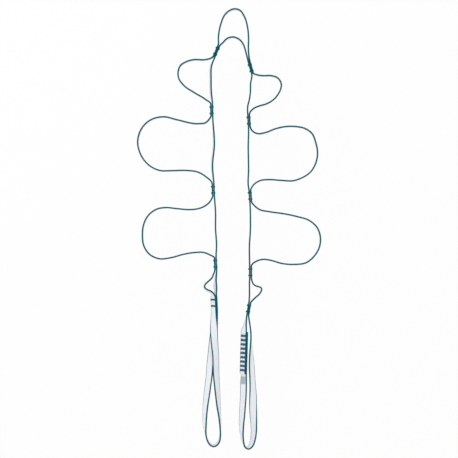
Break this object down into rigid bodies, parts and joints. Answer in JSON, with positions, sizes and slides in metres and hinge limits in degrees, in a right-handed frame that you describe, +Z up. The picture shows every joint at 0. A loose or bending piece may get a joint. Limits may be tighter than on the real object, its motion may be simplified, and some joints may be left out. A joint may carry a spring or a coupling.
{
  "type": "climbing daisy chain",
  "caption": "Flat tape sling sewn by bar tacks into a row of clip-in pockets, with an end loop at each tip, laid out folded at its middle pocket.",
  "frame": {"origin": "on the surface that the chain lies on, in the middle of its outline", "axes": "+Y along the legs toward the folded middle pocket, +X across to the leg with the splice, +Z up, across the tape's width"},
  "size_m": [0.2618, 0.6272, 0.012],
  "materials": {
    "woven_tape": "matt woven tape, pale with coloured edges",
    "tack_thread": "dense dark thread",
    "bare_label": "plain woven label"
  },
  "bodies": {
    "crown": {"spine_top": "woven_tape", "pocket_top": "woven_tape", "bartack_left_1_upper": "tack_thread", "bartack_left_1_lower": "tack_thread", "bartack_right_1_upper": "tack_thread", "bartack_right_1_lower": "tack_thread"},
    "left_1": {"spine_left_1": "woven_tape", "pocket_left_1": "woven_tape", "bartack_left_2_upper": "tack_thread", "bartack_left_2_lower": "tack_thread"},
    "left_2": {"spine_left_2": "woven_tape", "pocket_left_2": "woven_tape", "bartack_left_3_upper": "tack_thread", "bartack_left_3_lower": "tack_thread"},
    "left_3": {"spine_left_3": "woven_tape", "pocket_left_3": "woven_tape", "bartack_left_4_upper": "tack_thread", "bartack_left_4_lower": "tack_thread"},
    "left_4": {"spine_left_4": "woven_tape", "pocket_left_4": "woven_tape", "bartack_left_5_upper": "tack_thread", "bartack_left_5_lower": "tack_thread"},
    "right_1": {"spine_right_1": "woven_tape", "pocket_right_1": "woven_tape", "bartack_right_2_upper": "tack_thread", "bartack_right_2_lower": "tack_thread"},
    "right_2": {"spine_right_2": "woven_tape", "pocket_right_2": "woven_tape", "bartack_right_3_upper": "tack_thread", "bartack_right_3_lower": "tack_thread"},
    "right_3": {"spine_right_3": "woven_tape", "pocket_right_3": "woven_tape", "bartack_right_4_upper": "tack_thread", "bartack_right_4_lower": "tack_thread"},
    "right_4": {"spine_right_4": "woven_tape", "pocket_right_4": "woven_tape", "bartack_right_5_upper": "tack_thread", "bartack_right_5_lower": "tack_thread"},
    "left_5": {"end_loop_left": "woven_tape"},
    "right_5": {"end_loop_right": "woven_tape", "splice_tail": "woven_tape", "splice_row_1": "tack_thread", "splice_row_2": "tack_thread", "splice_row_3": "tack_thread", "splice_row_4": "tack_thread", "splice_row_5": "tack_thread", "splice_row_6": "tack_thread", "splice_row_7": "tack_thread", "splice_row_8": "tack_thread", "splice_row_9": "tack_thread", "label": "bare_label"}
  },
  "joints": [
    {"name": "left_fold_1", "type": "hinge", "parent": "crown", "child": "left_1", "pos_m": [-0.02093, 0.24532, 0.0055], "axis": [0, 0, 1], "range_deg": [-40, 2]},
    {"name": "left_fold_2", "type": "hinge", "parent": "left_1", "child": "left_2", "pos_m": [-0.02448, 0.16093, 0.0055], "axis": [0, 0, 1], "range_deg": [-30, 2.5]},
    {"name": "left_fold_3", "type": "hinge", "parent": "left_2", "child": "left_3", "pos_m": [-0.02211, 0.04766, 0.0055], "axis": [0, 0, 1], "range_deg": [-25, 3.5]},
    {"name": "left_fold_4", "type": "hinge", "parent": "left_3", "child": "left_4", "pos_m": [-0.01889, -0.05749, 0.0055], "axis": [0, 0, 1], "range_deg": [-45, 5]},
    {"name": "left_fold_5", "type": "hinge", "parent": "left_4", "child": "left_5", "pos_m": [-0.02067, -0.11309, 0.00566], "axis": [0.6149, 0.0301, 0.788], "range_deg": [-45, 45]},
    {"name": "right_fold_1", "type": "hinge", "parent": "crown", "child": "right_1", "pos_m": [0.03317, 0.22142, 0.0055], "axis": [0, 0, 1], "range_deg": [-2, 40]},
    {"name": "right_fold_2", "type": "hinge", "parent": "right_1", "child": "right_2", "pos_m": [0.02873, 0.14619, 0.0055], "axis": [0, 0, 1], "range_deg": [-2.5, 30]},
    {"name": "right_fold_3", "type": "hinge", "parent": "right_2", "child": "right_3", "pos_m": [0.03075, 0.03894, 0.0055], "axis": [0, 0, 1], "range_deg": [-3.5, 25]},
    {"name": "right_fold_4", "type": "hinge", "parent": "right_3", "child": "right_4", "pos_m": [0.03054, -0.06965, 0.0055], "axis": [0, 0, 1], "range_deg": [-5, 45]},
    {"name": "right_fold_5", "type": "hinge", "parent": "right_4", "child": "right_5", "pos_m": [0.02673, -0.12133, 0.0055], "axis": [0, 0, 1], "range_deg": [-7, 45]}
  ]
}
